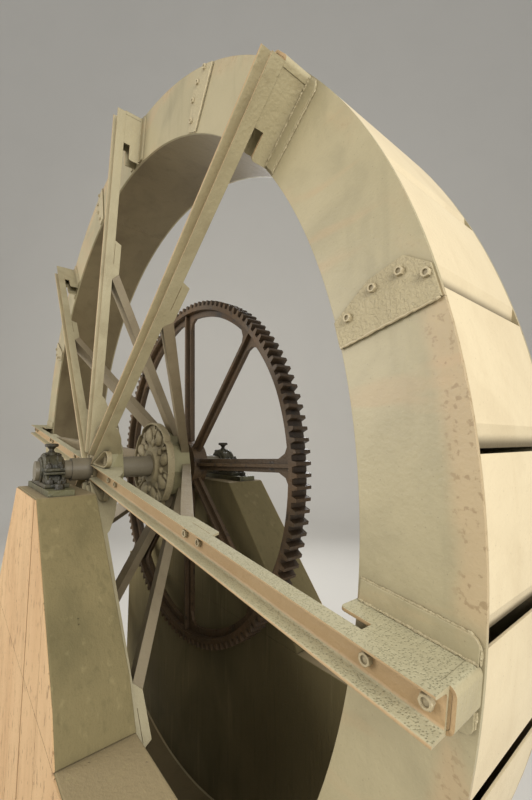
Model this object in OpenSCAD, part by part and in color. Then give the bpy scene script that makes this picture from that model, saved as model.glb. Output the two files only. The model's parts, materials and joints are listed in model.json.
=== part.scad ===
// Steel water wheel with bucket rim, one-sided channel arms, braced drum and toothed gear.
// The axle runs along Y, Z is up, and the origin is on the pit floor midway between the piers.

/* [Wheel rim] */
// Outer radius of the wheel rim
rim_r = 2000; // [1900:10:2100]
// Radial width of the shroud plates
shroud_w = 265; // [220:5:300]
// Length of the wheel along the axle, over both shrouds
wheel_w = 440; // [400:5:500]
// Thickness of the shroud plates
shroud_t = 10; // [6:1:14]
// Thickness of the sole plates inside the buckets
sole_t = 6; // [4:1:10]
// Angle of the first shroud seam above the horizontal
seam_a = 12.7; // [10:0.1:15]
// Open joint between neighbouring shroud segments
seam_gap = 1; // [0.5:0.5:3]

/* [Buckets] */
// Number of buckets round the wheel
buckets = 38; // [36:1:40]
// Angle of the first bucket's lip above the horizontal
bucket_first_a = 13.3; // [12.9:0.1:14]
// Thickness of the bucket plates
bucket_t = 5; // [3:1:8]
// Angle between one bucket's inner edge and the next one's lip
bucket_mouth_a = 0.3; // [0.2:0.05:0.5]
// Angle that the inwards bent end of the outer wall covers
bucket_bend_a = 1.3; // [0.8:0.05:2.6]
// Depth of the bent end below the rim
elbow_depth = 18; // [16:1:60]

/* [Lap plates] */
// Thickness of the lap plates on the near shroud
lap_t = 8; // [5:1:12]
// Angle that a lap plate covers at its middle
lap_a = 3.7; // [3:0.1:4.5]
// Angle that a lap plate covers at its inner and outer corners
lap_corner_a = 2.2; // [1.5:0.1:2.8]
// Length of the cut corner at the rim
lap_cut_out = 46; // [30:1:60]
// Length of the cut corner at the inner edge
lap_cut_in = 118; // [80:1:130]

/* [Arms] */
// Angle of the first arm above the horizontal
arm_a = -7.6; // [-9:0.1:-5]
// Height of the channel section
arm_h = 80; // [70:1:100]
// Depth of the channel section along the axle
arm_d = 45; // [38:1:60]
// Thickness of the channel's web
arm_web_t = 6; // [5:1:10]
// Thickness of the channel's flanges
arm_flange_t = 8; // [6:1:12]
// Radius at which the arms' points stop short of the shaft
arm_root_r = 75; // [70:1:100]
// Distance of the arms' outer ends inside the rim
arm_end_in = 14; // [5:1:40]
// Clear joint between the mitred roots of neighbouring arms
arm_joint = 2; // [1:0.5:6]

/* [Stand-off brackets] */
// Depth of the brackets between shroud and arm
bracket_d = 96; // [80:1:110]
// Wall thickness of the brackets
bracket_t = 8; // [5:1:12]
// Distance of the brackets' outer ends inside the rim
bracket_end_in = 2; // [1:1:10]
// Width of the feet beside the brackets
bracket_foot_w = 46; // [30:1:60]
// Length of the notch behind the arm at the brackets' inner ends
bracket_notch_len = 80; // [50:1:110]
// Depth of that notch
bracket_notch_d = 34; // [20:1:50]

/* [Braces] */
// Radius at which a brace meets the back of its arm
gusset_r = 1056; // [960:2:1150]
// Length of the gusset plates along the arm
gusset_len = 214; // [150:2:250]
// Depth of the gusset plates behind the arm
gusset_d = 34; // [24:1:60]
// Length of the open slit between gusset plate and arm
slit_len = 112; // [60:2:130]
// Width of that slit
slit_w = 2; // [1:0.5:4]
// Depth of the channel section of the braces
brace_d = 45; // [36:1:60]
// Thickness of the braces' web and flanges
brace_t = 7; // [5:1:10]

/* [Hubs and drum] */
// Reach of the cast hubs
hub_r = 264; // [250:2:275]
// Radius of the near hub's disc inside the lobes
hub_disc_r = 192; // [185:1:198]
// Radius of the near hub's lobes
near_lobe_r = 43; // [38:1:44]
// Wall thickness of the lobes and of the inner hub's raised rim
lobe_wall_t = 11; // [8:1:16]
// Distance of the near hub's lobes in front of the arms' backs
lobe_front_d = 42; // [20:1:43]
// Height of the inner hub's raised rim above its disc
inner_lip = 14; // [8:1:18]
// Radius of the cast bosses inside that rim
boss_r = 40; // [30:1:44]
// Distance of the bosses from the axle
boss_at = 192; // [180:1:200]
// Height of the bosses above the disc
boss_rise = 10; // [4:1:12]
// Thickness of the cast hub discs
hub_t = 30; // [20:1:40]
// Radius of the hubs' barrels
barrel_r = 100; // [90:1:115]
// Distance by which the barrels stand out past the discs and the root box
barrel_out = 20; // [10:1:24]
// Radius of the clamp disc in front of the arms
clamp_r = 90; // [84:1:102]
// Thickness of the clamp disc
clamp_t = 18; // [12:1:24]
// Distance of the inner hub's face behind the near shroud's face
inner_hub_y = 240; // [220:5:260]
// Length of the octagonal drum along the axle
drum_len = 132; // [120:2:150]
// Distance from the axle to the corners of the drum and the root box
drum_corner_r = 206; // [200:1:215]
// Thickness of the drum's plates
drum_t = 10; // [8:1:16]
// Depth of the root box, its fins and the near hub's barrel behind the arms
fin_d = 98; // [80:1:120]
// Depth of the root fins at their knee
fin_knee_d = 50; // [40:1:60]
// Radius of the root fins' knee
fin_knee_r = 322; // [300:2:340]
// Reach of the root fins along the arms
fin_r = 410; // [380:5:440]
// Depth of the root fins' outer ends
fin_end_d = 14; // [8:1:24]

/* [Shaft] */
// Radius of the shaft between the hubs
shaft_r = 60; // [50:1:70]
// Radius of the journals in the bearings
journal_r = 50; // [40:1:55]
// Radial running clearance in the bearings
journal_gap = 0.05; // [0.02:0.01:0.1]
// Length of journal that stands past each bearing
journal_end = 18; // [10:1:50]
// Length of journal between a bearing and the shaft's shoulder
journal_in = 40; // [10:1:60]

/* [Gear] */
// Tip radius of the toothed gear
gear_r = 1060; // [1000:5:1090]
// Number of teeth
gear_teeth = 124; // [100:1:132]
// Depth of the teeth
tooth_d = 30; // [20:1:36]
// Width of the toothed rim along the axle
gear_w = 92; // [70:1:110]
// Thickness of the gear's rim under the teeth
gear_rim_t = 26; // [20:1:40]
// Depth of the flat ring inside the gear's rim
gear_ring_d = 36; // [20:1:60]
// Angle of the first gear spoke above the horizontal
gear_a = 2.3; // [0:0.1:5]
// Clear distance between the far shroud and the gear
gear_clear = 14; // [10:1:30]
// Width of the gear's spokes
spoke_w = 66; // [50:1:90]
// Thickness of the spokes' flat web and rib
spoke_t = 18; // [12:1:26]
// Depth of the spokes' rib along the axle
spoke_rib_d = 66; // [50:1:80]
// Spread of the spokes' fillets at the rim
spoke_flare = 70; // [40:1:100]
// Radius of the gear's hub
gear_hub_r = 150; // [130:1:180]

/* [Piers] */
// Height of the axle above the pit floor
axle_h = 2150; // [2120:10:2400]
// Thickness of the piers along the axle
pier_t = 254; // [220:2:280]
// Half width of a pier at its top
pier_top_x = 300; // [295:5:400]
// Half width of a pier at the knee of its batter
pier_knee_x = 815; // [700:5:860]
// Half width of a pier at its foot
pier_foot_x = 895; // [880:5:1000]
// Half width of the wall under a pier
wall_x = 1300; // [1000:10:1500]
// Height of the battered part of a pier
pier_h = 748; // [700:2:800]
// Height of its steeper foot below the knee
pier_knee_h = 150; // [100:10:250]
// Distance from the axle down to the piers' tops
pier_drop = 102; // [100:1:130]
// Clear distance between the near shroud and the near pier
pier_clear = 162; // [155:1:200]
// Depth by which the far pier stands closer to the gear than the near pier to the rim
far_pier_in = 100; // [60:1:120]

/* [Bearings] */
// Distance of the bearings' middles outside the piers' middles
bearing_out = 23; // [0:1:40]
// Length of the bearing housings along the axle
housing_len = 110; // [100:1:130]
// Radius of the round part of the bearing housings
housing_r = 92; // [80:1:100]
// Half width of the housings' feet
foot_x = 190; // [160:1:220]
// Thickness of the housings' feet
foot_t = 20; // [14:1:26]
// Thickness of the base plates on the piers
base_t = 28; // [20:1:30]
// Half width of the base plates
base_x = 290; // [240:1:294]
// Length of the base plates along the axle
base_len = 114; // [110:1:150]
// Height of the flat on the caps, measured down from their round top
cap_flat = 4; // [2:1:8]
// Radius of the grease cups
cup_r = 32; // [24:1:38]
// Height of the grease cups above the caps
cup_h = 52; // [40:1:70]

/* [Hidden] */
$fn = 96;
ring_fn = 360;
ARM_NODES = ["arm_1", "arm_2", "arm_3", "arm_4", "arm_5", "arm_6", "arm_7", "arm_8"];
SHROUD_NODES = ["near_shroud_1", "near_shroud_2", "near_shroud_3", "near_shroud_4",
    "near_shroud_5", "near_shroud_6", "near_shroud_7", "near_shroud_8"];

// One arm, bracket, brace and shroud segment for each bay
bays = 8;
gear_spokes = 8;
bay_a = 360 / bays;
bucket_a = 360 / buckets;
seat_gap = 0.3;
lobe_back_in = 2;

// Places along the axle, from the piers inwards
near_pier_y1 = -(wheel_w + gear_clear + gear_w + 2 * pier_clear - far_pier_in) / 2;
near_pier_y0 = near_pier_y1 - pier_t;
far_pier_y0 = -near_pier_y1;
far_pier_y1 = far_pier_y0 + pier_t;
rim_y0 = near_pier_y1 + pier_clear;
rim_y1 = rim_y0 + wheel_w;
arm_y1 = rim_y0 - bracket_d;
arm_y0 = arm_y1 - arm_d;
web_y0 = arm_y1 - arm_web_t;
clamp_y0 = web_y0 - clamp_t;
hub_y1 = arm_y1 + hub_t / 2;
box_y1 = arm_y1 + fin_d;
inner_y0 = rim_y0 + inner_hub_y;
inner_y1 = inner_y0 + hub_t;
drum_y1 = inner_y1 + drum_len;
gear_y0 = rim_y1 + gear_clear;
gear_y1 = gear_y0 + gear_w;
near_bearing_y = (near_pier_y0 + near_pier_y1) / 2 - bearing_out;
far_bearing_y = (far_pier_y0 + far_pier_y1) / 2 + bearing_out;
shaft_y0 = near_bearing_y - housing_len / 2 - journal_end;
shaft_y1 = far_bearing_y + housing_len / 2 + journal_end;
near_shoulder_y = near_bearing_y + housing_len / 2 + journal_in;
far_shoulder_y = far_bearing_y - housing_len / 2 - journal_in;

// Radii of the rim
shroud_r = rim_r - shroud_w;
sole_r = shroud_r + sole_t;
elbow_r = rim_r - elbow_depth;
bracket_end_r = rim_r - bracket_end_in;
arm_end_r = rim_r - arm_end_in;
arm_flange_r = (arm_h / 2 + arm_joint) / tan(bay_a / 2) + arm_joint;
gear_root_r = gear_r - tooth_d;
gear_rim_r = gear_root_r - gear_rim_t;
pier_top_z = axle_h - pier_drop;
pier_foot_z = pier_top_z - pier_h;

steel_shade = [0.47, 0.47, 0.40];
steel_light = [0.66, 0.62, 0.50];
iron = [0.16, 0.16, 0.14];
bearing_green = [0.20, 0.25, 0.21];
concrete = [0.52, 0.50, 0.42];

function arm_angle(i) = arm_a + bay_a * i;
function polar(r, a) = [r * cos(a), r * sin(a)];

// Draws a flat shape of the wheel's plane between two places along the axle
module slab(y0, y1) {
    translate([0, y1, axle_h]) rotate([90, 0, 0]) linear_extrude(y1 - y0) children();
}

// A stretch of a ring round the axle
module sector(r0, r1, y0, y1, a0, a1) {
    translate([0, y1, axle_h]) rotate([90, 0, 0]) rotate([0, 0, a0])
        rotate_extrude(angle = a1 - a0, $fn = ring_fn) translate([r0, 0]) square([r1 - r0, y1 - y0]);
}

// A cylinder round the axle
module round_bar(r, y0, y1) {
    translate([0, y1, axle_h]) rotate([90, 0, 0]) cylinder(r = r, h = y1 - y0);
}

// Turns children built along +X to an angle round the axle
module at_angle(a) {
    translate([0, 0, axle_h]) rotate([0, -a, 0]) children();
}

// A box from its two corners
module corners(low, high) {
    translate(low) cube(high - low);
}

module wall(y0, y1) {
    color(concrete) corners([-wall_x, y0, 0], [wall_x, y1, pier_foot_z]);
}

module pier(y0, y1) {
    foot = pier_foot_z - axle_h;
    color(concrete) slab(y0, y1)
        polygon([[-pier_foot_x, foot], [pier_foot_x, foot], [pier_knee_x, foot + pier_knee_h],
            [pier_top_x, -pier_drop], [-pier_top_x, -pier_drop], [-pier_knee_x, foot + pier_knee_h]]);
}

module bearing_base(y) {
    color(bearing_green)
        corners([-base_x, y - base_len / 2, pier_top_z], [base_x, y + base_len / 2, pier_top_z + base_t]);
}

module bearing_housing(y) {
    foot_z = pier_top_z + base_t;
    color(bearing_green) difference() {
        union() {
            corners([-foot_x, y - housing_len / 2, foot_z], [foot_x, y + housing_len / 2, foot_z + foot_t]);
            corners([-housing_r, y - housing_len / 2, foot_z], [housing_r, y + housing_len / 2, axle_h]);
        }
        round_bar(journal_r + journal_gap, y - housing_len, y + housing_len);
    }
}

module bearing_cap(y) {
    color(bearing_green) difference() {
        round_bar(housing_r, y - housing_len / 2, y + housing_len / 2);
        round_bar(journal_r + journal_gap, y - housing_len, y + housing_len);
        corners([-rim_r, y - housing_len, 0], [rim_r, y + housing_len, axle_h]);
        corners([-rim_r, y - housing_len, axle_h + housing_r - cap_flat], [rim_r, y + housing_len, 2 * axle_h]);
    }
}

module grease_cup(y) {
    color(iron) translate([0, y, axle_h + housing_r - cap_flat]) {
        cylinder(r = cup_r / 2, h = cup_h);
        translate([0, 0, cup_h * 2 / 3]) cylinder(r = cup_r, h = cup_h / 3);
    }
}

module shaft() {
    color(steel_shade) {
        round_bar(journal_r, shaft_y0, near_shoulder_y);
        round_bar(shaft_r, near_shoulder_y, far_shoulder_y);
        round_bar(journal_r, far_shoulder_y, shaft_y1);
    }
}

// Puts its children between the arms at a distance from the axle, standing along the axle
module between_arms(r, y) {
    for (i = [0:bays - 1])
        at_angle(arm_angle(i) + bay_a / 2) translate([r, y, 0]) rotate([90, 0, 0]) children();
}

// A hub disc with an open lobe in every bay
module lobed_disc(y0, y1, lobe_y0, lobe_r) {
    lobe_at = hub_r - lobe_r;
    difference() {
        union() {
            round_bar(hub_disc_r, y0, y1);
            between_arms(lobe_at, y1 - lobe_back_in) cylinder(r = lobe_r, h = y1 - lobe_back_in - lobe_y0);
        }
        between_arms(lobe_at, y1 + 1) cylinder(r = lobe_r - lobe_wall_t, h = y1 - lobe_y0 + 2);
    }
}

module near_hub() {
    color(steel_shade) difference() {
        union() {
            lobed_disc(arm_y1, hub_y1, arm_y1 - lobe_front_d, near_lobe_r);
            round_bar(barrel_r, arm_y1, box_y1 + barrel_out);
        }
        round_bar(shaft_r, arm_y1 - 1, box_y1 + barrel_out + 1);
    }
}

module clamp_disc() {
    color(steel_shade) difference() {
        round_bar(clamp_r, clamp_y0, web_y0);
        round_bar(shaft_r, clamp_y0 - 1, web_y0 + 1);
    }
}

// An eight-sided tube whose corners point along the arms
module corner_tube(r, wall, y0, y1) {
    slab(y0, y1) difference() {
        rotate(arm_a) circle(r = r, $fn = bays);
        if (wall > 0) rotate(arm_a) circle(r = r - wall / cos(bay_a / 2), $fn = bays);
    }
}

module root_box() {
    color(steel_light) corner_tube(drum_corner_r, drum_t, hub_y1, box_y1);
}

// Plates behind each arm's flanges that widen towards the root box
module root_fins() {
    half = arm_h / 2;
    color(steel_light) difference() {
        for (i = [0:bays - 1]) at_angle(arm_angle(i)) for (side = [-1, 1])
            translate([0, 0, side > 0 ? half - arm_flange_t : -half]) linear_extrude(arm_flange_t)
                polygon([[hub_disc_r + seat_gap, arm_y1], [fin_r, arm_y1], [fin_r - fin_end_d, arm_y1 + fin_end_d],
                    [fin_knee_r, arm_y1 + fin_knee_d], [drum_corner_r - half, box_y1],
                    [drum_corner_r - half, hub_y1], [hub_disc_r + seat_gap, hub_y1]]);
        corner_tube(drum_corner_r + seat_gap, 0, hub_y1 - 1, box_y1 + 1);
        between_arms(hub_r - near_lobe_r, hub_y1 + 1)
            cylinder(r = near_lobe_r + seat_gap, h = hub_y1 - arm_y1 + 2);
    }
}

// A disc with a raised rim, a boss in every bay and a barrel
module inner_hub() {
    color(steel_shade) difference() {
        union() {
            difference() {
                round_bar(hub_r, inner_y0 - inner_lip, inner_y1);
                round_bar(hub_r - lobe_wall_t, inner_y0 - inner_lip - 1, inner_y0);
            }
            between_arms(boss_at, inner_y0 + 1) cylinder(r = boss_r, h = boss_rise + 1);
            round_bar(barrel_r, inner_y0 - barrel_out, inner_y1 + barrel_out);
        }
        round_bar(shaft_r, inner_y0 - barrel_out - 1, inner_y1 + barrel_out + 1);
    }
}

// The drum behind the inner hub, with an end plate that fits the shaft
module drum() {
    color(steel_light) {
        corner_tube(drum_corner_r, drum_t, inner_y1, drum_y1);
        difference() {
            corner_tube(drum_corner_r - drum_t, 0, drum_y1 - drum_t, drum_y1);
            round_bar(shaft_r, drum_y1 - drum_t - 1, drum_y1 + 1);
        }
    }
}

// One channel arm with a pointed root that leaves room for its neighbours
module arm(i) {
    half = arm_h / 2;
    color(steel_light) at_angle(arm_angle(i)) {
        translate([0, arm_y1, 0]) rotate([90, 0, 0]) linear_extrude(arm_web_t)
            polygon([[arm_root_r, arm_root_r * tan(bay_a / 2) - arm_joint],
                [arm_flange_r, half], [arm_end_r, half],
                [arm_end_r, -half], [arm_flange_r, -half],
                [arm_root_r, -arm_root_r * tan(bay_a / 2) + arm_joint]]);
        for (side = [-1, 1])
            corners([arm_flange_r, arm_y0, side > 0 ? half - arm_flange_t : -half],
                [arm_end_r, arm_y1, side > 0 ? half : -half + arm_flange_t]);
    }
}

// Notched brackets that hold each arm off the shroud, with a closed outer end and two feet
module stand_off_brackets() {
    half = arm_h / 2;
    notch_r = shroud_r + bracket_notch_len;
    color(steel_light) for (i = [0:bays - 1]) at_angle(arm_angle(i)) {
        for (side = [-1, 1])
            translate([0, 0, side > 0 ? half - bracket_t : -half]) linear_extrude(bracket_t)
                polygon([[shroud_r, rim_y0], [shroud_r, arm_y1 + bracket_notch_d],
                    [notch_r, arm_y1 + bracket_notch_d], [notch_r, arm_y1],
                    [bracket_end_r - bracket_t, arm_y1], [bracket_end_r - bracket_t, rim_y0]]);
        corners([bracket_end_r - 2 * bracket_t, arm_y1, -half], [bracket_end_r - bracket_t, rim_y0, half]);
        for (side = [-1, 1])
            corners([shroud_r + bracket_t, rim_y0 - bracket_t, side > 0 ? half - 1 : -half - bracket_foot_w],
                [bracket_end_r - 2 * bracket_t, rim_y0, side > 0 ? half + bracket_foot_w : -half + 1]);
    }
}

// Plates flush with the arms' flanges, with an open slit beside the arm
module brace_gussets() {
    half = arm_h / 2;
    end_r = gusset_r + gusset_len;
    slit_r = end_r - gusset_d / 2 - slit_len;
    color(steel_light) for (i = [0:bays - 1]) at_angle(arm_angle(i)) for (side = [-1, 1])
        translate([0, 0, side > 0 ? half - arm_flange_t : -half]) linear_extrude(arm_flange_t)
            polygon([[gusset_r + seat_gap, arm_y1], [slit_r, arm_y1], [slit_r, arm_y1 + slit_w],
                [slit_r + slit_len, arm_y1 + slit_w], [slit_r + slit_len, arm_y1], [end_r, arm_y1],
                [end_r - gusset_d / 2, arm_y1 + gusset_d],
                [gusset_r + seat_gap + gusset_d, arm_y1 + gusset_d]]);
}

// Channels from the arms' gussets down to the drum's corners
module braces() {
    half = arm_h / 2;
    foot_r = drum_corner_r - half;
    foot_y1 = drum_y1 - drum_t;
    slope = atan2(foot_y1 - arm_y1 - gusset_d, gusset_r + gusset_d - drum_corner_r);
    rise = brace_d / cos(slope);
    web_rise = brace_t / cos(slope);
    low_y = foot_y1 + (drum_corner_r - foot_r) * tan(slope);
    top_r = gusset_r - seat_gap;
    color(steel_light) difference() {
        for (i = [0:bays - 1]) at_angle(arm_angle(i)) {
            for (side = [-1, 1])
                translate([0, 0, side > 0 ? half - brace_t : -half]) linear_extrude(brace_t)
                    polygon([[foot_r, low_y - rise], [foot_r, low_y],
                        [top_r + gusset_d, arm_y1 + gusset_d], [top_r, arm_y1 + seat_gap],
                        [top_r - seat_gap, arm_y1 + seat_gap]]);
            translate([0, 0, -half]) linear_extrude(arm_h)
                polygon([[foot_r, low_y - rise], [foot_r, low_y - rise + web_rise],
                    [top_r, arm_y1 + seat_gap + web_rise], [top_r, arm_y1 + seat_gap],
                    [top_r - seat_gap, arm_y1 + seat_gap]]);
        }
        corner_tube(drum_corner_r + seat_gap, 0, inner_y1 - drum_len, drum_y1 + drum_len);
    }
}

module near_shroud(i) {
    gap_a = seam_gap / rim_r * 180 / PI / 2;
    color(steel_shade) sector(shroud_r, rim_r, rim_y0, rim_y0 + shroud_t,
        seam_a + bay_a * (i - 1) + gap_a, seam_a + bay_a * i - gap_a);
}

// Lap plates over the seams, with two cut corners
module lap_plates() {
    inner = shroud_r + lap_t / 4;
    outer = rim_r - lap_t / 2;
    color(steel_shade) for (i = [0:bays - 1]) slab(rim_y0 - lap_t, rim_y0) rotate(seam_a + bay_a * i)
        polygon([polar(inner, 0), polar(outer, 0), polar(outer, lap_corner_a),
            polar(outer - lap_cut_out, lap_a), polar(inner + lap_cut_in, lap_a), polar(inner, lap_corner_a)]);
}

module far_shroud() {
    gap_a = seam_gap / rim_r * 180 / PI / 2;
    color(steel_shade) for (i = [0:bays - 1])
        sector(shroud_r, rim_r, rim_y1 - shroud_t, rim_y1,
            seam_a + bay_a * i + gap_a, seam_a + bay_a * (i + 1) - gap_a);
}

module sole_plates() {
    gap_a = seam_gap / rim_r * 180 / PI / 2;
    color(steel_shade) for (i = [0:bays - 1])
        sector(shroud_r, sole_r, rim_y0 + shroud_t, rim_y1 - shroud_t,
            seam_a + bay_a * i + gap_a, seam_a + bay_a * (i + 1) - gap_a);
}

// The outer walls follow the rim and bend inwards behind the next bucket's lip
module bucket_walls() {
    bend_at = bucket_a - bucket_mouth_a - bucket_bend_a;
    end_at = bucket_a - bucket_mouth_a;
    color(steel_light) for (k = [0:buckets - 1])
        slab(rim_y0 + shroud_t, rim_y1 - shroud_t) rotate(bucket_first_a + bucket_a * k)
            polygon([for (p = [[rim_r, 0], [rim_r, 1], [rim_r, 2], [rim_r, 3], [rim_r, 4], [elbow_r, 0],
                [elbow_r - bucket_t, 0], [rim_r - bucket_t, 4], [rim_r - bucket_t, 3], [rim_r - bucket_t, 2],
                [rim_r - bucket_t, 1], [rim_r - bucket_t, 0]])
                polar(p[0], p[0] > elbow_r ? -bend_at * p[1] / 4 : -end_at)]);
}

// The partitions close each bucket from the wall's bent end down to the sole
module bucket_partitions() {
    color(steel_shade) for (k = [0:buckets - 1])
        at_angle(bucket_first_a + bucket_a * (k - 1) + bucket_mouth_a)
            corners([sole_r + seat_gap, rim_y0 + shroud_t, 0],
                [elbow_r - bucket_t - seat_gap, rim_y1 - shroud_t, bucket_t]);
}

// Each tooth is a trapezoid, wider at its root than at its tip
module gear_rim() {
    pitch = 360 / gear_teeth;
    root_half = 0.28;
    tip_half = 0.14;
    color(iron) slab(gear_y0, gear_y1) difference() {
        polygon([for (k = [0:gear_teeth - 1]) for (p = [[gear_root_r, -0.5], [gear_root_r, -root_half],
            [gear_r, -tip_half], [gear_r, tip_half], [gear_root_r, root_half]]) polar(p[0], (k + p[1]) * pitch)]);
        circle(r = gear_rim_r, $fn = ring_fn);
    }
}

// Spokes of cross section with fillets at the rim, a flat ring inside the rim, and the hub
module gear_spider() {
    mid = (gear_y0 + gear_y1) / 2;
    out_r = gear_rim_r - seat_gap;
    ring_r = gear_rim_r - gear_ring_d;
    half = spoke_w / 2;
    color(iron) difference() {
        union() {
            round_bar(gear_hub_r, gear_y0, gear_y1);
            slab(mid - spoke_t / 2, mid + spoke_t / 2) {
                difference() {
                    circle(r = out_r, $fn = ring_fn);
                    circle(r = ring_r, $fn = ring_fn);
                }
                for (i = [0:gear_spokes - 1]) rotate(gear_a + bay_a * i)
                    polygon([[gear_hub_r / 2, -half], [ring_r - spoke_flare, -half],
                        [ring_r - spoke_flare / 3, -half - spoke_flare / 3], [ring_r + 1, -half - spoke_flare],
                        [ring_r + 1, half + spoke_flare], [ring_r - spoke_flare / 3, half + spoke_flare / 3],
                        [ring_r - spoke_flare, half], [gear_hub_r / 2, half]]);
            }
            for (i = [0:gear_spokes - 1]) at_angle(gear_a + bay_a * i)
                corners([gear_hub_r / 2, mid - spoke_rib_d / 2, -spoke_t / 2],
                    [out_r - 1, mid + spoke_rib_d / 2, spoke_t / 2]);
        }
        round_bar(shaft_r, gear_y0 - 1, gear_y1 + 1);
    }
}

wall(near_pier_y0, near_pier_y1);  // near_wall
pier(near_pier_y0, near_pier_y1);  // near_pier
wall(far_pier_y0, far_pier_y1);  // far_wall
pier(far_pier_y0, far_pier_y1);  // far_pier
bearing_base(near_bearing_y);  // near_bearing_base
bearing_housing(near_bearing_y);  // near_bearing_housing
bearing_cap(near_bearing_y);  // near_bearing_cap
grease_cup(near_bearing_y);  // near_grease_cup
bearing_base(far_bearing_y);  // far_bearing_base
bearing_housing(far_bearing_y);  // far_bearing_housing
bearing_cap(far_bearing_y);  // far_bearing_cap
grease_cup(far_bearing_y);  // far_grease_cup
shaft();
near_hub();
clamp_disc();
root_box();
root_fins();
inner_hub();
drum();
for (i = [0:bays - 1]) arm(i);
stand_off_brackets();
brace_gussets();
braces();
for (i = [0:bays - 1]) near_shroud(i);
lap_plates();
far_shroud();
sole_plates();
bucket_walls();
bucket_partitions();
gear_rim();
gear_spider();
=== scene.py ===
import json
import math
import random

import bmesh
import bpy
from mathutils import Matrix, Vector


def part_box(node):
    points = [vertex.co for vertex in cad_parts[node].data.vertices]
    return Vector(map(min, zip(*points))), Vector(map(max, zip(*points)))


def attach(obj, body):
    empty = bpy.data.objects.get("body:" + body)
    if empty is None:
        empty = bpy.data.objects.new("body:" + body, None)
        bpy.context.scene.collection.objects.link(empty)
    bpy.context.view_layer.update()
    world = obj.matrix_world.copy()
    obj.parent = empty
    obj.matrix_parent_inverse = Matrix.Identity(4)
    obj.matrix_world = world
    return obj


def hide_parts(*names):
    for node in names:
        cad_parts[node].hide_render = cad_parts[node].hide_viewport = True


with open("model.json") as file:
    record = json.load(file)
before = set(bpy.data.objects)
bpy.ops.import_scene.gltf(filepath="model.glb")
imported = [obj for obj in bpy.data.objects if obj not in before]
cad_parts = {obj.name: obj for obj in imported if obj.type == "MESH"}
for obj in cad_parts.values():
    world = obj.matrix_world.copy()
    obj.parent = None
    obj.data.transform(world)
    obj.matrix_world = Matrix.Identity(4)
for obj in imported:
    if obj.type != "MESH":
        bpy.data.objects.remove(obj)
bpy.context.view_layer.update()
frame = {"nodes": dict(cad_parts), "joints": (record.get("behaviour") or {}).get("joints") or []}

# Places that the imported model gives, in metres
AXLE_H = frame["joints"][0]["pos_m"][2]
RIM_R, RIM_Y0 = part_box("far_shroud")[1].x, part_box("near_shroud_1")[0].y
ARM_TIP_Y, ARM_BACK_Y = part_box("arm_1")[0].y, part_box("arm_1")[1].y
INNER_Y0, INNER_Y1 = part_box("drum")[0].y - 0.030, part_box("drum")[0].y
PIER_Y0, PIER_TOP_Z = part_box("near_pier")[0].y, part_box("near_pier")[1].z
LEDGE_Z, PIER_FOOT_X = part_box("near_pier")[0].z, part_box("near_pier")[1].x
WALL_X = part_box("near_wall")[1].x
BEARING_Y = (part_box("near_bearing_base")[0].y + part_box("near_bearing_base")[1].y) / 2
BEARING_Z0, BEARING_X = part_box("near_bearing_housing")[0].z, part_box("near_bearing_housing")[1].x
CUP_Z0, CUP_Z1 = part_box("near_grease_cup")[0].z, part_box("near_grease_cup")[1].z

# Measures of the wheel that the part's source has too: ring plates, channels, bracket and lap plates
SHROUD_R = 1.735
HALF, WEB_T, PLATE_T = 0.040, 0.006, 0.008

# Degrees round the axle: the first arm, the step from arm to arm, the first seam of the ring
ARM_A, BAY, SEAM_A = -7.6, 45.0, 12.7
BAYS = range(8)
BAY_SIN, BAY_COS = math.sin(math.radians(BAY / 2)), math.cos(math.radians(BAY / 2))

# Where the dressed arms and the bent ends of their brackets stop, as in the photograph
ARM_END_R, BRACKET_END_R = 1.985, 1.998


def rgb(red, green, blue):
    """A colour given as the screen shows it, as the linear values that a shader takes."""
    lin = [c / 255 / 12.92 if c <= 10 else ((c / 255 + 0.055) / 1.055) ** 2.4
           for c in (red, green, blue)]
    return (*lin, 1.0)


# Places on the wheel, for shapes drawn along X with the axle at the origin

def at_angle(a):
    return Matrix.Translation((0, 0, AXLE_H)) @ Matrix.Rotation(-math.radians(a), 4, "Y")


def on_arm(i):
    return at_angle(ARM_A + BAY * i)


def between_arms(i):
    return at_angle(ARM_A + BAY * (i + 0.5))


def slide(x, y, z):
    return Matrix.Translation((x, y, z))


# Turn what is built along Z, such as a bolt, towards the viewer's side or away from it
TO_FRONT = Matrix.Rotation(math.radians(90), 4, "X")
TO_BACK = Matrix.Rotation(math.radians(-90), 4, "X")


def on_axle(y):
    """Where a solid built along Z stands on the axle, its Z axis towards the viewer."""
    return slide(0, y, AXLE_H) @ TO_FRONT


# Shader helpers

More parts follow.
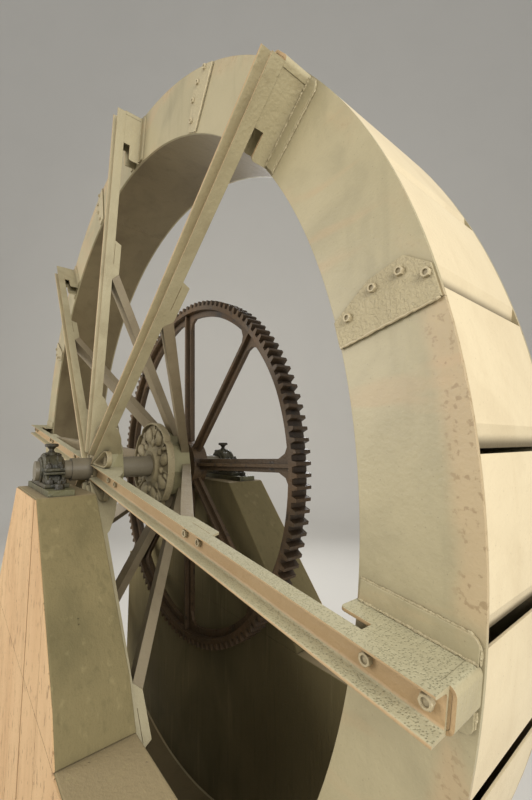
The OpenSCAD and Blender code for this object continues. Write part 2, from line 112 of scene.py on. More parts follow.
class Look:
    """A procedural material, built up layer by layer in the object's own coordinates."""

    def __init__(self, name, colour, rough, metal=0.0, coat=0.0):
        self.mat = bpy.data.materials.new(name)
        self.mat.use_nodes = True
        self.nodes, self.links = self.mat.node_tree.nodes, self.mat.node_tree.links
        self.shader = self.nodes["Principled BSDF"]
        self.shader.inputs["Metallic"].default_value = metal
        self.shader.inputs["Coat Weight"].default_value = coat
        self.shader.inputs["Coat Roughness"].default_value = 0.25
        self.coord = self.nodes.new("ShaderNodeTexCoord")
        self.colour, self.rough, self.height = colour, rough, None

    def feed(self, value, socket):
        """Links a node's output to a socket, or writes a plain number or colour on it."""
        if isinstance(value, bpy.types.NodeSocket):
            self.links.new(value, socket)
        else:
            socket.default_value = value

    def node(self, kind, **values):
        """Adds a node and feeds its inputs, whose names have an underscore here for a space."""
        n = self.nodes.new("ShaderNode" + kind)
        for name, value in values.items():
            self.feed(value, n.inputs[name.replace("_", " ")])
        return n

    def calc(self, kind, a, b=None):
        n = self.node("Math")
        n.operation = kind
        for value, socket in zip((a, b), n.inputs):
            if value is not None:
                self.feed(value, socket)
        return n.outputs[0]

    def both(self, a, b):
        return self.calc("MULTIPLY", a, b)

    def mix(self, kind, mask, a, b):
        n = self.node("Mix")
        n.data_type = kind
        for name, value in (("Factor", mask), ("A", a), ("B", b)):
            self.feed(value, n.inputs[name])
        return n.outputs["Result"]

    def mapped(self, stretch):
        return self.node("Mapping", Scale=stretch, Vector=self.coord.outputs["Object"]).outputs[0]

    def split(self, output):
        """The x, y and z of the object's own coordinates or normals."""
        return self.node("SeparateXYZ", Vector=self.coord.outputs[output]).outputs

    def spread(self, value, low, high):
        """A mask that goes smoothly from 0 where the value is low to 1 where it is high."""
        n = self.node("MapRange", Value=value, From_Min=low, From_Max=high)
        n.interpolation_type = "SMOOTHSTEP"
        return n.outputs["Result"]

    def noise(self, scale, detail, low, high, stretch=(1, 1, 1), warp=0.0):
        n = self.node("TexNoise", Scale=scale, Detail=detail, Roughness=0.55, Distortion=warp,
                      Vector=self.mapped(stretch))
        return self.spread(n.outputs["Fac"], low, high)

    def cells(self, scale, low, high, stretch=(1, 1, 1)):
        """Spots round scattered points, as the distance to the nearest one spread between two values."""
        n = self.node("TexVoronoi", Scale=scale, Vector=self.mapped(stretch))
        return self.spread(n.outputs["Distance"], low, high)

    def facing(self, axis, low, high):
        """How far the surface at rest faces along an axis, negative lows for the other way."""
        return self.spread(self.split("Normal")[axis], low, high)

    def outward(self, low, high):
        """How far from the axle a point of the wheel lies."""
        x, _, z = self.split("Object")
        up = self.calc("SUBTRACT", z, AXLE_H)
        square = self.calc("ADD", self.both(x, x), self.both(up, up))
        return self.spread(self.calc("SQRT", square), low, high)

    # Painted shade: a mask from ambient occlusion that darkens corners, creases and gaps between parts
    def corner_shade(self, reach, strength=1.0):
        n = self.node("AmbientOcclusion", Distance=reach)
        n.samples = 6
        return self.both(self.calc("SUBTRACT", 1.0, n.outputs["AO"]), strength)

    def tint(self, mask, colour, strength=1.0, rough=None):
        mask = self.both(mask, strength)
        self.colour = self.mix("RGBA", mask, self.colour, colour)
        if rough is not None:
            self.rough = self.mix("FLOAT", mask, self.rough, rough)

    def rise(self, mask, amount):
        """Adds a height in metres where the mask is 1, or a hollow where it is negative."""
        part = self.both(mask, amount)
        self.height = part if self.height is None else self.calc("ADD", self.height, part)

    def done(self, round_edges=0.0):
        self.feed(self.colour, self.shader.inputs["Base Color"])
        self.feed(self.rough, self.shader.inputs["Roughness"])
        normal = None
        if round_edges:
            edge = self.node("Bevel", Radius=round_edges)
            edge.samples = 4
            normal = edge.outputs[0]
        if self.height is not None:
            bump = self.node("Bump", Distance=1.0, Height=self.height)
            if normal:
                self.links.new(normal, bump.inputs["Normal"])
            normal = bump.outputs[0]
        if normal:
            self.links.new(normal, self.shader.inputs["Normal"])
        return self.mat


# Looks of the parts

TAN = rgb(180, 142, 96)
# A dark brown for specks of dirt and for the painted shade in corners
GRIME_AND_SHADE = rgb(62, 50, 34)

# Distances from the axle between which the ring's worn edge and the painted shade inside a bucket set in
WORN_BAND = (1.925, 1.965)
BUCKET_SHADE_BAND = (1.9935, 1.984)


def painted(name, colour, pale, deep, grain, rough, corner_shade_strength=0.55, drips=True):
    """Brushed oil paint on steel: clouds of tone, fine specks, runs, painted shade in corners."""
    look = Look(name, colour, rough)
    look.tint(look.noise(1.7, 5, 0.38, 0.66, warp=0.4), pale, 0.45)
    look.tint(look.noise(3.9, 6, 0.46, 0.70, warp=0.6), deep, 0.40)
    if drips:
        look.tint(look.noise(9, 5, 0.55, 0.72, (1.6, 1.6, 0.22)), deep, 0.22, rough + 0.12)
    look.tint(look.noise(170, 3, 0.60, 0.72), deep, 0.28)
    look.tint(look.noise(260, 2, 0.62, 0.74), pale, 0.30)
    look.tint(look.cells(52, 0.10, 0.03), GRIME_AND_SHADE, 0.30)
    # Painted shade in corners and crevices
    look.tint(look.corner_shade(0.035, corner_shade_strength), GRIME_AND_SHADE, 0.75, 0.8)
    look.rise(look.noise(120, 4, 0.3, 0.75), 0.0005 * grain)
    look.rise(look.noise(14, 3, 0.3, 0.7), 0.0008 * min(grain, 1.0))
    look.rise(look.cells(46, 0.55, 0.05), 0.0004 * grain)
    return look


def ring_look():
    """Green-grey paint with a worn tan band along the ring's outer edge."""
    look = painted("ring_paint", rgb(164, 153, 120), rgb(182, 170, 136), rgb(134, 126, 98), 0.45, 0.44)
    look.tint(look.noise(6, 3, 0.56, 0.66, (0.25, 1, 1.3)), rgb(178, 150, 114), 0.35)
    worn = look.both(look.outward(*WORN_BAND), look.noise(2.4, 5, 0.42, 0.60, warp=0.4))
    look.tint(worn, rgb(190, 160, 122), 0.45)
    look.tint(look.both(worn, look.noise(70, 3, 0.56, 0.66)), rgb(128, 104, 70), 0.5)
    return look.done(0.002)


def lap_look():
    """The lap plates' thick, finely pitted paint."""
    look = painted("lap_paint", rgb(170, 157, 123), rgb(186, 174, 139), rgb(142, 130, 100), 1.6, 0.5)
    look.rise(look.noise(150, 2, 0.36, 0.64), 0.0011)
    return look.done(0.0015)


def arm_look():
    """The channels: tan on the face towards the viewer, pale and gritty on top."""
    look = painted("arm_paint", rgb(166, 155, 122), rgb(188, 178, 144), rgb(136, 122, 90), 1.0, 0.5)
    look.tint(look.facing(1, -0.6, -0.95), TAN, 0.62)
    on_top = look.facing(2, 0.6, 0.9)
    grit = look.both(on_top, look.cells(210, 0.48, 0.20))
    look.tint(on_top, rgb(176, 172, 142), 0.5, 0.85)
    look.tint(grit, rgb(108, 106, 78), 0.42, 0.9)
    look.rise(grit, -0.0007)
    return look.done(0.0012)


def nut_look():
    # Nut paint, with the strongest painted shade in its corners
    look = painted("nut_paint", rgb(182, 168, 134), rgb(206, 194, 160), rgb(128, 106, 72), 1.4, 0.5,
                   corner_shade_strength=1.0, drips=False)
    return look.done()


def hub_look():
    """The same paint over rough castings, with more painted shade in the corners."""
    look = painted("hub_paint", rgb(142, 129, 98), rgb(182, 170, 134), rgb(100, 86, 58), 1.6, 0.55,
                   corner_shade_strength=0.9)
    look.rise(look.noise(38, 4, 0.3, 0.7), 0.0012)
    return look.done(0.003)


def bucket_look():
    """Cream outside, with painted shade from the outer wall's inner face inwards."""
    look = painted("bucket_paint", rgb(206, 190, 156), rgb(216, 201, 168), rgb(188, 170, 136), 0.6, 0.5)
    # Painted shade on the bent ends and insides of the buckets
    look.tint(look.outward(*BUCKET_SHADE_BAND), rgb(84, 72, 50), 0.85)
    return look.done(0.0015)


def iron_look(name, base, rust, worn, grease_and_shade, coat):
    """Bare or thinly painted cast iron with rust clouds, grease, worn specks and painted shade in its
    corners.
    """
    look = Look(name, base, 0.55, metal=0.15, coat=coat)
    look.tint(look.noise(5, 6, 0.45, 0.68, warp=0.5), rust, 0.55, 0.75)
    look.tint(look.noise(16, 5, 0.55, 0.7), grease_and_shade, 0.8, 0.3)
    look.tint(look.noise(120, 3, 0.58, 0.7), worn, 0.4)
    # Painted shade in corners, in the grease colour
    look.tint(look.corner_shade(0.04), grease_and_shade, 0.8, 0.5)
    look.rise(look.noise(60, 5, 0.3, 0.7), 0.0014)
    look.rise(look.noise(9, 3, 0.3, 0.7), 0.002)
    return look


def pier_shaded_look():
    """Concrete in painted shade, the shaded copy of the boards' concrete: smooth and olive, with runs,
    small holes darkened by painted shade, and a paler top.
    """
    look = Look("pier_concrete_painted_shade", rgb(122, 110, 74), 0.85)
    deep = rgb(96, 88, 56)
    holes = look.cells(15, 0.05, 0.025)
    look.tint(look.noise(1.3, 6, 0.4, 0.66, warp=0.5), rgb(142, 128, 88), 0.45)
    look.tint(look.noise(2.6, 6, 0.46, 0.70, (1, 1, 0.45), warp=0.5), deep, 0.55)
    look.tint(look.noise(26, 4, 0.52, 0.7, (1.6, 1.6, 0.10)), deep, 0.35)
    look.tint(look.noise(190, 3, 0.55, 0.70), deep, 0.30)
    # Painted shade in the small holes
    look.tint(holes, rgb(60, 50, 34), 0.5)
    look.tint(look.facing(2, 0.75, 0.95), rgb(160, 142, 108), 0.6)
    # Painted shade in corners
    look.tint(look.corner_shade(0.03), rgb(52, 42, 28), 0.9)
    look.tint(look.noise(16, 5, 0.58, 0.72, (1.6, 1.6, 0.12)), rgb(160, 146, 104), 0.3)
    look.rise(look.noise(40, 4, 0.3, 0.7, (1.6, 1.6, 0.15)), 0.0008)
    look.rise(look.noise(150, 3, 0.3, 0.7), 0.0004)
    look.rise(holes, -0.003)
    return look.done()


def board_lamplit_look():
    """The same concrete in painted warm lamplight, pitted and speckled along the marks of upright boards,
    with painted shade in its pits.
    """
    look = Look("board_marked_concrete_painted_lamplight", rgb(200, 164, 120), 0.86)
    look.tint(look.noise(2.2, 6, 0.4, 0.66, (1, 1, 0.4), warp=0.5), rgb(214, 182, 138), 0.5)
    look.tint(look.noise(7, 5, 0.48, 0.68, (1.4, 1, 0.35)), rgb(176, 140, 98), 0.4)
    pits = look.noise(44, 4, 0.60, 0.68, (1.0, 1.0, 0.4))
    # Painted shade in the pits
    look.tint(pits, rgb(124, 92, 58), 0.6)
    look.tint(look.cells(30, 0.11, 0.05, (1.0, 1.0, 0.45)), rgb(82, 58, 36), 0.75)
    look.tint(look.noise(210, 3, 0.56, 0.70), rgb(138, 112, 78), 0.35)
    # Painted shade in corners
    look.tint(look.corner_shade(0.02), rgb(46, 34, 20), 0.9)
    look.rise(pits, -0.0014)
    look.rise(look.noise(160, 3, 0.3, 0.7), 0.0006)
    return look.done()


def plain_look(name, colour):
    """The room's matt surface, with the faintest clouds."""
    look = Look(name, colour, 0.9)
    look.tint(look.noise(0.8, 3, 0.4, 0.7), (*[c * 0.97 for c in colour[:3]], 1.0), 0.5)
    return look.done()


looks = {
    "ring": ring_look(),
    "lap": lap_look(),
    "arm": arm_look(),
    "nut": nut_look(),
    "plate": painted("plate_paint", rgb(138, 132, 98), rgb(158, 151, 115), rgb(110, 100, 70),
                     0.8, 0.5).done(0.002),
    "hub": hub_look(),
    "bucket": bucket_look(),
    # The sole plates' paint is darker and browner: partly rust and dirt, partly painted shade of the
    # wheel's inside
    "sole": painted("sole_paint_dirt_and_shade", rgb(118, 104, 74), rgb(138, 124, 92), rgb(88, 72, 46),
                    0.8, 0.55).done(0.0015),
    "brace": painted("brace_paint", rgb(136, 122, 96), rgb(156, 144, 116), rgb(104, 88, 64),
                     0.9, 0.52).done(0.002),
    "shaft": painted("shaft_paint", rgb(112, 104, 86), rgb(130, 122, 102), rgb(86, 78, 62),
                     0.6, 0.42).done(0.002),
    "gear": iron_look("gear_iron", rgb(86, 68, 46), rgb(106, 80, 52), rgb(132, 108, 76),
                      rgb(40, 32, 22), 0.15).done(0.003),
    "bearing": iron_look("bearing_iron", rgb(66, 62, 42), rgb(80, 64, 40), rgb(112, 106, 76),
                         rgb(26, 25, 17), 0.1).done(),
    "base": iron_look("base_iron", rgb(98, 95, 64), rgb(88, 74, 48), rgb(132, 128, 92),
                      rgb(38, 35, 24), 0.05).done(),
    "cup": iron_look("cup_iron", rgb(52, 47, 33), rgb(76, 58, 36), rgb(112, 100, 72),
                     rgb(22, 21, 15), 0.08).done(),
    "pier": pier_shaded_look(),
    "board": board_lamplit_look(),
}


# Mesh helpers

def solid(points, along, bevel=0.0, segments=2):
    """A closed prism on a flat outline, with its sharp edges rounded."""
    bm = bmesh.new()
    along = Vector(along)
    low = [bm.verts.new(p) for p in points]
    high = [bm.verts.new(Vector(p) + along) for p in points]
    bm.faces.new(low)
    bm.faces.new(high[::-1])
    for k in range(len(points)):
        j = (k + 1) % len(points)
        bm.faces.new((low[j], low[k], high[k], high[j]))
    bmesh.ops.recalc_face_normals(bm, faces=bm.faces)
    if bevel:
        round_off(bm, bevel, segments)
    return bm


def round_off(bm, bevel, segments):
    """Rounds every edge whose faces meet at more than 30 degrees."""
    sharp = math.radians(30)
    edges = [e for e in bm.edges if len(e.link_faces) == 2 and e.calc_face_angle() > sharp]
    bmesh.ops.bevel(bm, geom=edges, offset=bevel, offset_type="OFFSET", segments=segments, profile=0.5,
                    affect="EDGES", clamp_overlap=True)
    return bm


def slab(outline, y, deep, bevel):
    """A plate on an outline of (x, z) points, from y on along Y."""
    return solid([(x, y, z) for x, z in outline], (0, deep, 0), bevel)


def block(low, high, bevel, segments=2):
    (x0, y0, z0), (x1, y1, z1) = low, high
    corners = [(x0, y0, z0), (x1, y0, z0), (x1, y1, z0), (x0, y1, z0)]
    return solid(corners, (0, 0, z1 - z0), bevel, segments)


def bridge(bm, rings):
    """Joins rings of vertices by faces, where a ring may also be a single point."""
    for a, b in zip(rings, rings[1:]):
        n = max(len(a), len(b))
        for k in range(n):
            j = (k + 1) % n
            if len(a) == 1:
                bm.faces.new((a[0], b[k], b[j]))
            elif len(b) == 1:
                bm.faces.new((a[j], a[k], b[0]))
            else:
                bm.faces.new((a[j], a[k], b[k], b[j]))
    bmesh.ops.recalc_face_normals(bm, faces=bm.faces)


def turned(profile, steps, bore=False):
    """A solid of revolution round Z, from (radius, height) pairs.

    The pairs start and end on the axis, or with a bore they go once round the solid's section.
    """
    bm = bmesh.new()
    rings = []
    for r, z in profile:
        turns = [2 * math.pi * k / steps for k in range(steps if r else 1)]
        rings.append([bm.verts.new((r * math.cos(a), r * math.sin(a), z)) for a in turns])
    bridge(bm, rings + rings[:1] if bore else rings)
    return bm


def band(outer, inner, low, high, bevel=0.003):
    """A closed loop of metal between two outlines of (x, z) points, from low to high along Y."""
    bm = bmesh.new()
    rows = [[bm.verts.new((x, y, z)) for x, z in line]
            for line, y in ((outer, low), (inner, low), (inner, high), (outer, high))]
    bridge(bm, rows + [rows[0]])
    return round_off(bm, bevel, 3)


def hex_bolt(across, high, hollow=0.001, stud=0.0, washer_r=0.0, washer_t=0.0):
    """A nut or bolt head standing along Z on a washer, its middle dished or with a stud end."""
    bm = bmesh.new()
    steps, sixth = 24, math.pi / 3
    corner, inner = across / 2 / math.cos(sixth / 2), across * 0.29
    top, floor = washer_t + high, washer_t + high - hollow

    def ring(r, z, six=False):
        out = []
        for k in range(steps):
            a = 2 * math.pi * k / steps
            if six:
                r = across / 2 / math.cos((a + sixth / 2) % sixth - sixth / 2)
            out.append(bm.verts.new((r * math.cos(a), r * math.sin(a), z)))
        return out

    rings = [[bm.verts.new((0, 0, 0))]]
    if washer_r:
        rings += [ring(washer_r, 0), ring(washer_r, washer_t * 0.75), ring(washer_r * 0.96, washer_t)]
    rings += [ring(corner, washer_t, True), ring(corner, washer_t + high * 0.84, True)]
    rings += [ring(across / 2 * 0.97, top), ring(inner * 1.12, top), ring(inner, floor)]
    if stud:
        rings += [ring(inner * 0.94, floor), ring(inner * 0.94, top + stud * 0.8)]
        rings += [ring(inner * 0.8, top + stud), [bm.verts.new((0, 0, top + stud))]]
    else:
        rings.append([bm.verts.new((0, 0, floor))])
    bridge(bm, rings)
    return bm


def bead(points, radius, seed, step=0.006):
    """A rough weld bead along a line of points, with a lumpy ring of seven points at every step."""
    sides, wander = 7, 0.18
    dice = random.Random(seed)
    line = [Vector(p) for p in points]
    spots = []
    for a, b in zip(line, line[1:]):
        n = max(1, round((b - a).length / step))
        spots += [a.lerp(b, k / n) for k in range(n)]
    spots.append(line[-1])
    bm = bmesh.new()
    rings = []
    turns = [2 * math.pi * j / sides for j in range(sides)]
    for k, p in enumerate(spots):
        ahead = (spots[min(k + 1, len(spots) - 1)] - spots[max(k - 1, 0)]).normalized()
        side = ahead.orthogonal().normalized()
        other = ahead.cross(side)
        r = radius * dice.uniform(0.62, 1.12)
        shift = side * dice.uniform(-wander, wander) * radius
        shift += other * dice.uniform(-wander, wander) * radius
        rings.append([bm.verts.new(p + shift + (side * math.cos(a) + other * math.sin(a)) * r)
                      for a in turns])
    bridge(bm, [[bm.verts.new(spots[0])]] + rings + [[bm.verts.new(spots[-1])]])
    return bm


def arc(cx, cy, r, a0, a1, n):
    """Points on a circle from one angle to another in degrees, both ends included."""
    turns = [math.radians(a0 + (a1 - a0) * k / n) for k in range(n + 1)]
    return [(cx + r * math.cos(a), cy + r * math.sin(a)) for a in turns]


class Piece:
    """Collects solids into one named piece of the scene."""

    def __init__(self, name, *materials):
        self.name, self.materials = name, materials
        self.bm = bmesh.new()

    def add(self, bm, where=None, look=0):
        for f in bm.faces:
            f.material_index = look
        mesh = bpy.data.meshes.new("part")
        bm.to_mesh(mesh)
        bm.free()
        if where is not None:
            mesh.transform(where)
        self.bm.from_mesh(mesh)
        bpy.data.meshes.remove(mesh)

    def done(self, body, slot, replaces=()):
        mesh = bpy.data.meshes.new(self.name)
        self.bm.to_mesh(mesh)
        self.bm.free()
        for m in self.materials:
            mesh.materials.append(m)
        for p in mesh.polygons:
            p.use_smooth = True
        mesh.set_sharp_from_angle(angle=math.radians(32))
        obj = bpy.data.objects.new(self.name, mesh)
        bpy.context.scene.collection.objects.link(obj)
        weighted = obj.modifiers.new("weighted", "WEIGHTED_NORMAL")
        weighted.keep_sharp = True
        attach(obj, body)
        if replaces:
            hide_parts(*replaces)


# The camera, fitted to the edges of the wheel's rings in the photograph

SENSOR, LENS = 36.0, 17.19
CAMERA_AT = (2.2862, -0.9482, 2.3089)
CAMERA_FORWARD, CAMERA_RIGHT = (-0.76913, 0.63063, 0.10365), (0.63404, 0.77330, 0)


def make_camera():
    data = bpy.data.cameras.new("camera")
    data.sensor_width, data.lens = SENSOR, LENS
    data.clip_start, data.clip_end = 0.05, 60
    cam = bpy.data.objects.new("camera", data)
    forward, right = Vector(CAMERA_FORWARD).normalized(), Vector(CAMERA_RIGHT).normalized()
    m = Matrix((right, right.cross(forward), -forward)).transposed().to_4x4()
    m.translation = CAMERA_AT
    cam.matrix_world = m
    bpy.context.scene.collection.objects.link(cam)
    bpy.context.scene.camera = cam


# The room: a floor that curves up into a back wall, square to the camera's view

ROOM_REACH, ROOM_CURVE, ROOM_TALL, ROOM_SIDE, ROOM_TURN = 9.0, 2.0, 26.0, 26.0, 50.65


def make_room():
    bm = bmesh.new()
    bend = arc(ROOM_REACH - ROOM_CURVE, ROOM_CURVE, ROOM_CURVE, -90, 0, 10)
    profile = [(-ROOM_REACH, 0.0)] + bend + [(ROOM_REACH, ROOM_TALL)]
    turn = Matrix.Rotation(math.radians(ROOM_TURN), 4, "Z")
    rows = [[bm.verts.new(turn @ Vector((x, y, z))) for x in (-ROOM_SIDE, ROOM_SIDE)] for y, z in profile]
    for a, b in zip(rows, rows[1:]):
        bm.faces.new((a[0], a[1], b[1], b[0]))
    mesh = bpy.data.meshes.new("room")
    bm.to_mesh(mesh)
    bm.free()
    mesh.materials.append(plain_look("room_pale", rgb(214, 211, 204)))
    for p in mesh.polygons:
        p.use_smooth = True
    room = bpy.data.objects.new("room", mesh)
    bpy.context.scene.collection.objects.link(room)


def area_light(name, place, aim, size, power, colour=(1, 1, 1)):
    data = bpy.data.lights.new(name, "AREA")
    data.shape = "DISK"
    data.size, data.energy, data.color = size, power, colour
    lamp = bpy.data.objects.new(name, data)
    lamp.location = place
    lamp.rotation_mode = "QUATERNION"
    lamp.rotation_quaternion = (Vector(aim) - Vector(place)).to_track_quat("-Z", "Y")
    bpy.context.scene.collection.objects.link(lamp)


def make_light():
    world = bpy.data.worlds.new("world")
    bpy.context.scene.world = world
    world.use_nodes = True
    back = world.node_tree.nodes["Background"]
    back.inputs["Color"].default_value = (1.0, 0.995, 0.985, 1)
    back.inputs["Strength"].default_value = 0.46
    area_light("key", (6.0, -1.5, 4.2), (0, 0, 2.0), 3.0, 290, (1, 0.985, 0.955))
    area_light("fill", (-2.5, -5.5, 3.8), (0, 0, 1.8), 4.0, 250, (1, 0.965, 0.92))
    area_light("back", (-3.5, 4.5, 5.0), (0, 0, 2.2), 3.0, 170)


make_camera()
make_room()
make_light()
bpy.context.scene.view_settings.view_transform = "Standard"


# Looks of the CAD nodes that stay visible

def dress(names, look, bevel=0.0):
    """Gives nodes their look, and where wanted rounds their edges with modifiers."""
    for n in names:
        node = frame["nodes"][n]
        for s in node.material_slots:
            s.material = looks[look]
        if bevel:
            weld = node.modifiers.new("weld", "WELD")
            weld.merge_threshold = 0.00002
            edge = node.modifiers.new("edge", "BEVEL")
            edge.width, edge.segments = bevel, 2
            edge.limit_method, edge.angle_limit = "ANGLE", math.radians(40)


dress([f"near_shroud_{i}" for i in range(1, 9)] + ["far_shroud"], "ring")
dress(["lap_plates"], "lap")
dress([f"arm_{i}" for i in range(1, 9)] + ["stand_off_brackets"], "arm")
dress(["brace_gussets", "root_fins"], "arm")
dress(["root_box", "drum"], "plate", 0.002)
dress(["near_hub", "clamp_disc", "inner_hub"], "hub")
dress(["braces"], "brace")
dress(["bucket_walls", "bucket_partitions"], "bucket")
dress(["sole_plates"], "sole")
dress(["shaft"], "shaft")
dress(["gear_rim", "gear_spider"], "gear")
dress([f"{s}_bearing_{p}" for s in ("near", "far") for p in ("housing", "cap")], "bearing")
dress([f"{s}_bearing_base" for s in ("near", "far")], "base", 0.003)
dress(["near_grease_cup", "far_grease_cup"], "cup")
# The piers and walls take the concrete's copy in painted shade
dress(["near_wall", "near_pier", "far_wall", "far_pier"], "pier", 0.006)


# Arms: rolled channels with tapered flanges and rounded corners, mitred together at the axle

FLANGE_ROOT_T, FLANGE_TIP_T, FILLET_R, NOSE_R = 0.0095, 0.0065, 0.008, 0.004
ARM_START_R, MITRE_GAP = 0.075, 0.002


def channel_outline(deep):
    """Points (depth from the back of the web, height) of a rolled channel's section."""
    upper = arc(deep - NOSE_R, HALF - FLANGE_TIP_T + NOSE_R, NOSE_R, 0, -90, 4)
    upper += arc(WEB_T + FILLET_R, HALF - FLANGE_ROOT_T - FILLET_R, FILLET_R, 90, 180, 5)
    lower = [(d, -h) for d, h in reversed(upper)]
    return [(0, -HALF), (0, HALF), (deep, HALF)] + upper + lower + [(deep, -HALF)]


def cut(bm, point, normal):
    """Removes what lies beyond a plane and closes the cut."""
    geom = list(bm.verts) + list(bm.edges) + list(bm.faces)
    bmesh.ops.bisect_plane(bm, geom=geom, plane_co=point, plane_no=normal, clear_outer=True)
    open_edges = [e for e in bm.edges if e.is_boundary]
    if open_edges:
        bmesh.ops.holes_fill(bm, edges=open_edges)
    bmesh.ops.recalc_face_normals(bm, faces=bm.faces)


def channel_arm():
    outline = channel_outline(ARM_BACK_Y - ARM_TIP_Y)
    points = [(ARM_START_R, ARM_BACK_Y - d, h) for d, h in outline]
    bm = solid(points, (ARM_END_R - ARM_START_R, 0, 0))
    cut(bm, (0, 0, -MITRE_GAP), (-BAY_SIN, 0, BAY_COS))
    cut(bm, (0, 0, MITRE_GAP), (-BAY_SIN, 0, -BAY_COS))
    return bm


def make_arms():
    for i in BAYS:
        piece = Piece(f"arm_channel_{i + 1}", looks["arm"])
        piece.add(channel_arm(), on_arm(i))
        piece.done("wheel", "wheel_steel", [f"arm_{i + 1}"])


# Distances of the arms' bolts from the axle, of which those beyond the hub have a nut behind the web
ARM_BOLTS = (0.30, 0.40, 1.12, 1.21, 1.838, 1.956)
HUB_REACH, ARM_BOLT_ACROSS = 1.0, 0.024


def make_arm_bolts():
    bolts = Piece("arm_bolts", looks["nut"])
    nuts = Piece("arm_nuts", looks["nut"])
    dice = random.Random(5)
    for i in BAYS:
        for r in ARM_BOLTS:
            spin = Matrix.Rotation(dice.uniform(0, math.pi), 4, "Z")
            where = on_arm(i) @ slide(r, ARM_BACK_Y - WEB_T, 0) @ TO_FRONT @ spin
            bolts.add(hex_bolt(ARM_BOLT_ACROSS, 0.011, hollow=0.004), where)
            if r > HUB_REACH:
                where = on_arm(i) @ slide(r, ARM_BACK_Y, 0) @ TO_BACK @ spin
                nuts.add(hex_bolt(ARM_BOLT_ACROSS, 0.013, hollow=0.002, stud=0.006), where)
    bolts.done("wheel", "wheel_steel")
    nuts.done("wheel", "wheel_steel")


# Stand-off brackets: bent plates with rounded ends, notched lugs, feet and rough welds

BEND_R, BEND_CORNER = BRACKET_END_R - 0.026, 0.016
FOOT_R0, FOOT_R1, FOOT_W, FOOT_CUT = SHROUD_R + 0.008, BRACKET_END_R - 0.006, 0.046, 0.018
FOOT_BEAD_R, FOOT_BEAD_STEP = 0.0036, 0.0045


def bracket_side():
    """Points (distance from the axle, y) of a side plate, its notch beside the ring's inner edge."""
    notch_r, notch_y, lug_r = SHROUD_R + 0.080, ARM_BACK_Y + 0.034, 0.012
    lug = arc(SHROUD_R + lug_r, notch_y + lug_r, lug_r, 180, 270, 5)
    notch = [(notch_r, notch_y), (notch_r, ARM_BACK_Y)]
    return [(BEND_R, RIM_Y0), (SHROUD_R, RIM_Y0)] + lug + notch + [(BEND_R, ARM_BACK_Y)]


def bracket_end():
    """Outlines of the bracket's bent end and of the lid that closes it on the viewer's side."""
    mid, rad, low = BRACKET_END_R - BEND_CORNER, BEND_CORNER - PLATE_T, HALF - BEND_CORNER
    outer = arc(mid, low, BEND_CORNER, 90, 0, 6) + arc(mid, -low, BEND_CORNER, 0, -90, 6)
    inner = arc(mid, -low, rad, -90, 0, 6) + arc(mid, low, rad, 0, 90, 6)
    inside, lid_r = HALF - PLATE_T, BEND_R - 0.05
    cap = [(BEND_R, HALF)] + outer + [(BEND_R, -HALF), (BEND_R, -inside)] + inner + [(BEND_R, inside)]
    return cap, [(lid_r, inside)] + inner[::-1] + [(lid_r, -inside)]


def bracket_foot(s, z0, z1):
    """Outline of a foot above or below the arm, its outer corner rounded."""
    corner = arc(FOOT_R1 - FOOT_CUT, 0, FOOT_CUT, 15, 90, 5)
    corner = [(x, z1 - s * FOOT_CUT + s * z) for x, z in corner]
    return [(FOOT_R0, z0), (FOOT_R1, z0), (FOOT_R1, z1 - s * FOOT_CUT)] + corner + [(FOOT_R0, z1)]


def make_brackets():
    piece = Piece("bracket_plates", looks["arm"], looks["ring"])
    welds = Piece("bracket_welds", looks["lap"])
    side, (cap, lid) = bracket_side(), bracket_end()
    inset, bead_y = 0.0015, RIM_Y0 - 0.002
    for i in BAYS:
        where = on_arm(i)
        for s in (-1, 1):
            z = HALF - PLATE_T - inset if s > 0 else -HALF + inset
            piece.add(solid([(x, y, z) for x, y in side], (0, 0, PLATE_T), 0.0012), where)
            z0, z1 = s * (HALF - 0.001), s * (HALF + FOOT_W)
            piece.add(slab(bracket_foot(s, z0, z1), RIM_Y0 - PLATE_T, PLATE_T, 0.0015), where, 1)
            line = [(FOOT_R0 - 0.002, z1), (FOOT_R1 - FOOT_CUT, z1), (FOOT_R1, z1 - s * FOOT_CUT),
                    (FOOT_R1 + 0.001, z0)]
            line = [(x, bead_y, z) for x, z in line]
            welds.add(bead(line, FOOT_BEAD_R, 31 * i + s, FOOT_BEAD_STEP), where)
            line = [(x, RIM_Y0 - PLATE_T, s * (HALF + 0.001)) for x in (FOOT_R0, FOOT_R1)]
            welds.add(bead(line, FOOT_BEAD_R, 77 * i + s, FOOT_BEAD_STEP), where)
        piece.add(slab(cap, ARM_BACK_Y, RIM_Y0 - ARM_BACK_Y, 0.001), where)
        piece.add(slab(lid, ARM_BACK_Y + 0.0005, PLATE_T, 0.001), where)
    piece.done("wheel", "wheel_steel", ["stand_off_brackets"])
    welds.done("wheel", "wheel_steel")


# Nuts of the lap plates: shares of the rim's radius, each with its degrees from the plate's lower edge
LAP_BOLTS = ((0.890, 1.90), (0.931, 2.90), (0.966, 2.80), (0.9915, 1.70))
LAP_NUT_ACROSS, LAP_NUT_HIGH, LAP_NUT_HOLLOW = 0.0195, 0.0085, 0.004
LAP_HIGHLIGHT_BEAD_R, LAP_HIGHLIGHT_BEAD_STEP = 0.0038, 0.007


